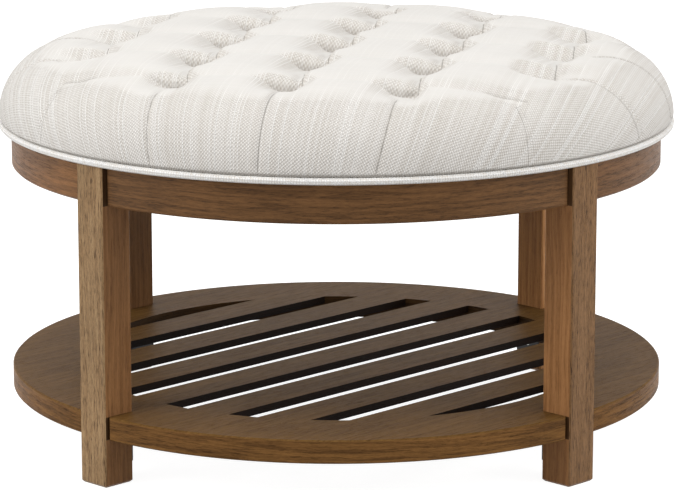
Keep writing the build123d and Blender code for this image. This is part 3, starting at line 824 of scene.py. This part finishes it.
def lay(flat, depth):
    """Bends the flat cloth over the crown and shoulder, and sinks it by depth along the profile's normal."""
    length = np.hypot(*flat.T)
    radius, height = on_profile(length)
    r0, h0 = on_profile(np.maximum(length - normal_step, 0))
    r1, h1 = on_profile(np.minimum(length + normal_step, skin_end))
    tangent = np.stack([r1 - r0, h1 - h0], axis=1)
    tangent /= np.maximum(np.linalg.norm(tangent, axis=1, keepdims=True), 1e-9)
    radius = radius + tangent[:, 1] * depth
    height = height - tangent[:, 0] * depth
    turn = np.arctan2(flat[:, 1], flat[:, 0]) + tuft_turn
    return above_foam(np.stack([radius * np.cos(turn), radius * np.sin(turn), height], axis=1), wadding_cover)


# How firmly the cloth is held for its swelling
rim_hold = (12, 6)
tuft_hold = 0.9
tuft_hold_reach = (18, 42)
nip_hold = 1.6
fold_holds = {(0, 1): 0.9, (1, 0): 0.5}
fold_hold_reach = (24, 12)


def held_share(p, q):
    """How firmly a place on the cloth is held, from 0 to 1: at the tufts, along the folds and at the piping."""
    held = np.clip((np.hypot(p, q) - (skin_end - rim_hold[0])) / rim_hold[1], 0, 1)
    for (i, j), (a, b) in tufts.items():
        held = np.maximum(held, np.clip(nip_hold * nip(p - a, q - b), 0, 1))
        held = np.maximum(held, tuft_hold * falling(np.hypot(p - a, q - b), *tuft_hold_reach))
        for (across, back), firm in fold_holds.items():
            if (i + across, j + back) in tufts:
                distance, _ = segment_distance(p, q, a, b, *tufts[i + across, j + back])
                held = np.maximum(held, firm * np.clip((fold_hold_reach[0] - distance) / fold_hold_reach[1], 0, 1))
    return held


swell_pressure = 40
swell_frames = 20
swell_cap = 6
scene = bpy.context.scene


def values_of(items, key, width=1, dtype=float):
    """A value or a vector of every item in a mesh's list, as one row of numbers."""
    values = np.empty(len(items) * width, dtype=dtype)
    items.foreach_get(key, values)
    return values


def swell(skin, held):
    """Blows the skin up as the wadding does, held where it is sewn down, and moves no point further than the cap."""
    group = skin.vertex_groups.new(name="held")
    for index, share in enumerate(held):
        group.add([index], float(share), "REPLACE")
    start = values_of(skin.data.vertices, "co", 3)
    cloth = skin.modifiers.new("cloth", "CLOTH")
    for key, value in {
        "quality": 6, "mass": 0.25, "tension_stiffness": 18, "compression_stiffness": 12, "shear_stiffness": 6,
        "bending_stiffness": 0.4, "vertex_group_mass": group.name, "use_pressure": True,
        "uniform_pressure_force": swell_pressure,
    }.items():
        setattr(cloth.settings, key, value)
    cloth.settings.effector_weights.gravity = 0
    cloth.collision_settings.use_collision = False
    for frame_number in range(1, swell_frames + 1):
        scene.frame_set(frame_number)
    swollen = skin.evaluated_get(bpy.context.evaluated_depsgraph_get())
    end = values_of(swollen.data.vertices, "co", 3)
    scene.frame_set(1)
    skin.modifiers.remove(cloth)
    shift = (end - start).reshape(-1, 3)
    length = np.linalg.norm(shift, axis=1, keepdims=True)
    shift *= np.minimum(1, swell_cap * mm / np.maximum(length, 1e-9))
    skin.data.vertices.foreach_set("co", start + shift.ravel())
    skin.data.update()


def subdivided(skin):
    """The skin's mesh after one subdivision: its points, faces and normals, and each point's place on the cloth."""
    finer = skin.modifiers.new("finer", "SUBSURF")
    finer.levels = 1
    finer.uv_smooth = "NONE"
    mesh = bpy.data.meshes.new_from_object(skin.evaluated_get(bpy.context.evaluated_depsgraph_get()))
    points = values_of(mesh.vertices, "co", 3)
    normals = values_of(mesh.vertex_normals, "vector", 3, np.float32)
    corners = values_of(mesh.loops, "vertex_index", dtype=np.int32)
    places = values_of(mesh.uv_layers["cloth"].data, "uv", 2, np.float32)
    flat = np.zeros((len(mesh.vertices), 2))
    flat[corners] = places.reshape(-1, 2) / mm
    faces = [list(face.vertices) for face in mesh.polygons]
    bpy.data.meshes.remove(mesh)
    return points.reshape(-1, 3) / mm, faces, normals.reshape(-1, 3), flat


def mesh_object(name, vertices, faces, material):
    """A smooth mesh of its own, from vertices in metres."""
    mesh = bpy.data.meshes.new(name)
    mesh.from_pydata([tuple(v) for v in vertices], [], faces)
    mesh.update()
    mesh.polygons.foreach_set("use_smooth", [True] * len(mesh.polygons))
    mesh.materials.append(material)
    made = bpy.data.objects.new(name, mesh)
    scene.collection.objects.link(made)
    return made


def give_cloth_places(piece, places):
    """Maps each vertex to its place on the cloth, given in millimetres."""
    layer = piece.data.uv_layers.new(name="cloth")
    corners = values_of(piece.data.loops, "vertex_index", dtype=np.int32)
    layer.data.foreach_set("uv", (np.array(places) * mm)[corners].astype(np.float32).ravel())


flat, skin_faces = build_skin()
skin = mesh_object("skin", lay(flat, faded(flat, soft_depth(*flat.T))) * mm, skin_faces, linen)
give_cloth_places(skin, flat)
swell(skin, held_share(*flat.T))
skin_points, faces, skin_normals, flat = subdivided(skin)
bpy.data.objects.remove(skin)
skin_points = above_foam(skin_points - skin_normals * faded(flat, crease_depth(*flat.T))[:, None], cloth_cover)

# The cover's inside and hem, ring by ring below the skin's border
border_width = 0.5
ring_step = 8
inside = [(skirt_radius, height) for height in (skirt_top, skirt_bottom, tape_top)]
inside += [(hem_inner, tape_top), (hem_inner, board_bottom), (board_radius, board_bottom)]
inside += [(board_radius, ceiling - bevel)] + [(radius, ceiling) for radius in ceiling_radii]
border = np.flatnonzero(np.hypot(*flat.T) > skin_end - border_width)
border_turns = np.arctan2(flat[border, 1], flat[border, 0])
last = [int(k) for k in border[np.argsort(border_turns)]]
border_turns = np.sort(border_turns)
vertices = skin_points.tolist()
cloth_places = flat.tolist()
reach = skin_end
for radius, height in inside:
    reach += ring_step
    current = list(range(len(vertices), len(vertices) + len(border_turns)))
    for turn in border_turns:
        vertices.append((radius * cos(turn + tuft_turn), radius * sin(turn + tuft_turn), height))
        cloth_places.append((reach * cos(turn), reach * sin(turn)))
    for k in range(len(current)):
        n = (k + 1) % len(current)
        faces.append([last[k], current[k], current[n], last[n]])
    last = current
faces.append(last[::-1])
cushion = mesh_object("tufted_seat", np.array(vertices) * mm, faces, linen)
bm = bmesh.new()
bm.from_mesh(cushion.data)
bmesh.ops.recalc_face_normals(bm, faces=bm.faces)
bm.to_mesh(cushion.data)
bm.free()
give_cloth_places(cushion, cloth_places)
# lines of painted shade along the folds and the seam, kept in the attribute folds
warp_fold, warp_sharp, weft_fold, weft_sharp = fold_shade_lines(*np.array(cloth_places).T)
folds = cushion.data.attributes.new("folds", "FLOAT_COLOR", "POINT")
folds.data.foreach_set("color", np.stack([warp_fold, weft_fold, warp_sharp, weft_sharp], axis=1).ravel())
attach(cushion, "root")
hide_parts("tufted_cover")

# -------- piping
# A welt: cotton cord in a bias strip of the same linen, sewn into the seam under the cushion. Its linen is
# painted a little paler, painted light where the proud cord catches more of the lamps. Its flat tape is caught between
# the rail and the hem.
cord_radius = 4
cord_reach = 396
cord_height = 375
cord_sides = 14
tape_reach = (366, 395)
tape_levels = (371.05, 371.95)
tape_steps = 240
strip_step = 1.5


def turned_ring(name, section, material, count=720):
    """A closed ring: each point of the section is its radius and height, in millimetres."""
    vertices = []
    faces = []
    places = []
    size = len(section)
    for k in range(count):
        turn = 2 * pi * k / count
        for radius, height in section:
            vertices.append((radius * mm * cos(turn), radius * mm * sin(turn), height * mm))
    for k in range(count):
        n = (k + 1) % count
        for s in range(size):
            t = (s + 1) % size
            faces.append([k * size + s, n * size + s, n * size + t, k * size + t])
            places += [(k, s), (k + 1, s), (k + 1, s + 1), (k, s + 1)]
    made = mesh_object(name, vertices, faces, material)
    # the strip is cut on the bias, so its threads lie across the cord at 45 degrees
    bias = sqrt(0.5)
    values = []
    for k, s in places:
        along = 2 * pi * cord_reach * mm * k / count
        across = s * strip_step * mm
        values += [(along + across) * bias, (across - along) * bias]
    made.data.uv_layers.new(name="cloth").data.foreach_set("uv", values)
    return made


# painted a little paler: painted light on the proud cord
bias_linen = linen_material("ivory_linen_bias", False, 1.14)
cord_turns = [2 * pi * k / cord_sides for k in range(cord_sides)]
cord_section = [
    (cord_reach + cord_radius * cos(turn), cord_height + cord_radius * sin(turn)) for turn in cord_turns
]
tape_section = [(tape_reach[side], tape_levels[top]) for side, top in ((0, 0), (1, 0), (1, 1), (0, 1))]
welt = turned_ring("welt_cord", cord_section, bias_linen)
welt_tape = turned_ring("welt_tape", tape_section, bias_linen, tape_steps)
for piece in (welt, welt_tape):
    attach(piece, "root")
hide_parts("piping")

# -------- foam
# A round of cut polyurethane foam with a bevelled upper edge, glued on the board inside the cover. The knife opens
# its cells, which makes it look like fine bread. Real cells are half as wide as these, too fine to show.
foam_cell = 1.4286
foam_steps = 180
foam_section = [
    (6, 385.0), (200, 385.0), (390.2, 385.0), (390.3, 386.0), (390.3, 399.6), (389.5, 401.2),
    (352.0, 438.6), (350.0, 439.7), (200, 439.9), (6, 439.9),
]


def patterned_material(name, pattern, size, detail, spread, tones, strength, height, rough=0.95):
    """A dull material whose tone and relief follow one fine pattern of a size in millimetres."""
    material, tree = new_material(name)
    at = (node(tree, "TexCoord"), "Object")
    marks = node(tree, pattern, {"Vector": at, "Scale": 1 / (size * mm), "Detail": detail})
    low, high = [colour(tone) for tone in tones]
    node(tree, "OutputMaterial", node(tree, "BsdfPrincipled", {
        "Base Color": node(
            tree, "Mix", {0: node(tree, "MapRange", marks, *spread), 6: low, 7: high}, data_type="RGBA"
        ),
        "Roughness": rough,
        "Normal": node(tree, "Bump", {"Height": marks, "Strength": strength, "Distance": height * mm}),
    }))
    return material


# each cell is painted darker in its hollow than on its walls: painted shade
foam = patterned_material("seat_foam", "TexVoronoi", foam_cell, 0.0, (0.0, 0.7), ("cdbb7c", "eadfae"), 0.5, 0.6)
foam_pad = turned_ring("foam_core", foam_section, foam, foam_steps)
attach(foam_pad, "root")
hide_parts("foam_pad")

# -------- dust cover
# Thin black non-woven polypropylene, stapled up under the board, straight from staple to staple and a little
# slack. Its fibres give it a dull, slightly mottled black. They are drawn coarser than the real ones.
fibre_clump = 1.1111
dust_radius = 360
dust_sides = 24
dust_rings = 30
dust_steps = 96
dust_levels = (371.95, 371.45)
sag = 3
sag_reach = 290
ripple_height = 0.25
ripple_count = 5
ripple_turn = 2
dust = patterned_material(
    "black_dust_cloth", "TexNoise", fibre_clump, 3.0, (0.3, 0.7), ("101012", "26262a"), 0.4, 0.3
)


def dust_edge(turn):
    """How far the many-sided edge lies from the middle at that angle, as a share of its corners' reach."""
    side = 2 * pi / dust_sides
    return cos(side / 2) / cos((turn % side) - side / 2)


vertices = []
faces = []
for level in dust_levels:
    vertices.append((0, 0, level - sag))
    for ring in range(1, dust_rings + 1):
        share = ring / dust_rings
        for k in range(dust_steps):
            turn = 2 * pi * k / dust_steps
            reach = dust_radius * share * ((1 - share) + share * dust_edge(turn))
            dip = sag * max(0.0, 1 - (reach / sag_reach) ** 2) ** 2
            ripple = sin(ripple_count * turn + ripple_turn) * sin(pi * min(1.0, reach / sag_reach))
            height = level - dip - ripple_height * abs(ripple)
            vertices.append((reach * cos(turn), reach * sin(turn), height))
layer_size = 1 + dust_rings * dust_steps
rim = 1 + (dust_rings - 1) * dust_steps
for k in range(dust_steps):
    n = (k + 1) % dust_steps
    for base, way in ((0, 1), (layer_size, -1)):
        faces.append([base, base + 1 + k, base + 1 + n][::way])
        for inner in range(base + 1, base + rim, dust_steps):
            outer = inner + dust_steps
            faces.append([inner + k, outer + k, outer + n, inner + n][::way])
    faces.append([rim + n, rim + k, rim + layer_size + k, rim + layer_size + n])
dust_sheet = mesh_object("dust_sheet", np.array(vertices) * mm, faces, dust)
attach(dust_sheet, "root")
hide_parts("dust_cover")

# -------- ties
# Waxed linen twine that pulls each tuft down through the foam, with its flat stop under the board. Its twisted
# strands show as fine slanting lines in two tones.
strand_turn = 1.1111
twine = patterned_material(
    "waxed_twine", "TexWave", strand_turn, 2.0, (0.0, 1.0), ("b49a72", "d8c6a2"), 0.0, 0.1, rough=0.7
)
dress(["tuft_ties"], twine)

# -------- floor
# A pale seamless sweep of matt paper. It is seen almost white from the camera, in metal and through glass, and it
# still takes the table's soft shadow.
floor_glow = 0.93
floor_size = 60
floor_paper, floor_tree = new_material("studio_floor")


def seen_share(tree):
    """1 for the rays that show the background, which come from the camera, off metal or through glass."""
    ray = node(tree, "LightPath")
    seen = node(tree, "Math", (ray, "Is Camera Ray"), (ray, "Is Glossy Ray"), operation="MAXIMUM")
    return node(tree, "Math", seen, (ray, "Is Transmission Ray"), operation="MAXIMUM")


node(floor_tree, "OutputMaterial", node(floor_tree, "BsdfPrincipled", {
    "Base Color": colour("b4b4b4"),
    "Roughness": 1.0,
    "Specular IOR Level": 0.0,
    "Emission Color": colour("ffffff"),
    "Emission Strength": node(floor_tree, "Math", seen_share(floor_tree), floor_glow, operation="MULTIPLY"),
}))
bpy.ops.mesh.primitive_plane_add(size=floor_size, location=(0, 0, 0))
floor = bpy.context.object
floor.name = "floor"
floor.data.materials.append(floor_paper)

# -------- light and camera
# A white studio with three soft boxes, one on each side and one above, and a long lens from the front, a little
# above the seat. Distances in metres.
world_light = 0.62
world = bpy.data.worlds.new("studio")
scene.world = world
world.use_nodes = True
world.node_tree.nodes.clear()
world_level = node(world.node_tree, "MapRange", seen_share(world.node_tree), 0.0, 1.0, world_light, 1.0)
node(world.node_tree, "OutputWorld", node(
    world.node_tree, "Background", {"Color": colour("ffffff"), "Strength": world_level}
))


def soft_box(name, place, target, size, power):
    data = bpy.data.lights.new(name, "AREA")
    data.shape = "RECTANGLE"
    data.size = data.size_y = size
    data.energy = power
    made = bpy.data.objects.new(name, data)
    scene.collection.objects.link(made)
    made.location = place
    made.rotation_euler = (Vector(target) - Vector(place)).to_track_quat("-Z", "Y").to_euler()


soft_box("left", (-3.0, -1.4, 1.5), (0, 0, 0.3), 1.8, 45)
soft_box("right", (3.0, -1.2, 1.3), (0, 0, 0.3), 2.0, 38)
soft_box("top", (-0.2, -0.5, 3.2), (0, 0, 0.4), 2.2, 31)

camera_data = bpy.data.cameras.new("camera")
camera_data.lens = 187.0
camera_data.sensor_width = 36.0
camera_data.clip_end = floor_size
camera = bpy.data.objects.new("camera", camera_data)
scene.collection.objects.link(camera)
camera.location = (-0.021, -4.127, 1.1286)
camera.rotation_euler = (radians(90 - 12.447), 0, radians(-0.345))
scene.camera = camera
scene.view_settings.view_transform = "Standard"
